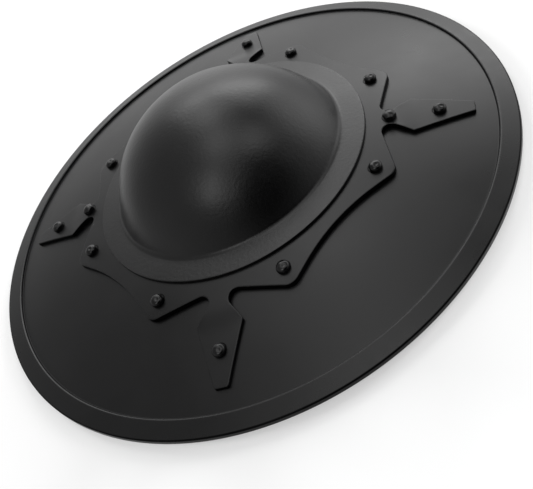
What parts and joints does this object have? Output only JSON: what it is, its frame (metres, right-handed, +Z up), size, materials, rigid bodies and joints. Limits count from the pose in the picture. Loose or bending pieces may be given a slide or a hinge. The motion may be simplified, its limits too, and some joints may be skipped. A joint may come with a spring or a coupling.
{
  "type": "buckler",
  "caption": "Round dished buckler shield with a raised rim, a domed boss, a riveted star-shaped plate and a bar grip behind the boss.",
  "frame": {"origin": "on the ground below the middle of the shield, which lies boss up on its rim", "axes": "+Z up through the boss, +X along the grip towards the right arm of the star plate"},
  "size_m": [0.36, 0.36, 0.0795],
  "materials": {
    "disc": "satin black coat",
    "plate": "satin black coat",
    "boss": "satin black coat, a little smoother",
    "rivets": "satin black coat",
    "bolts": "satin black coat",
    "grip": "matt black"
  },
  "bodies": {
    "root": {"shield_disc": "disc", "star_plate": "plate", "boss": "boss", "grip": "grip", "arm_rivet_right": "rivets", "arm_rivet_top": "rivets", "arm_rivet_left": "rivets", "arm_rivet_bottom": "rivets", "lobe_rivet_1": "rivets", "lobe_rivet_2": "rivets", "lobe_rivet_3": "rivets", "lobe_rivet_4": "rivets", "lobe_rivet_5": "rivets", "lobe_rivet_6": "rivets", "lobe_rivet_7": "rivets", "lobe_rivet_8": "rivets", "grip_bolt_right": "bolts", "grip_bolt_left": "bolts"}
  },
  "joints": []
}
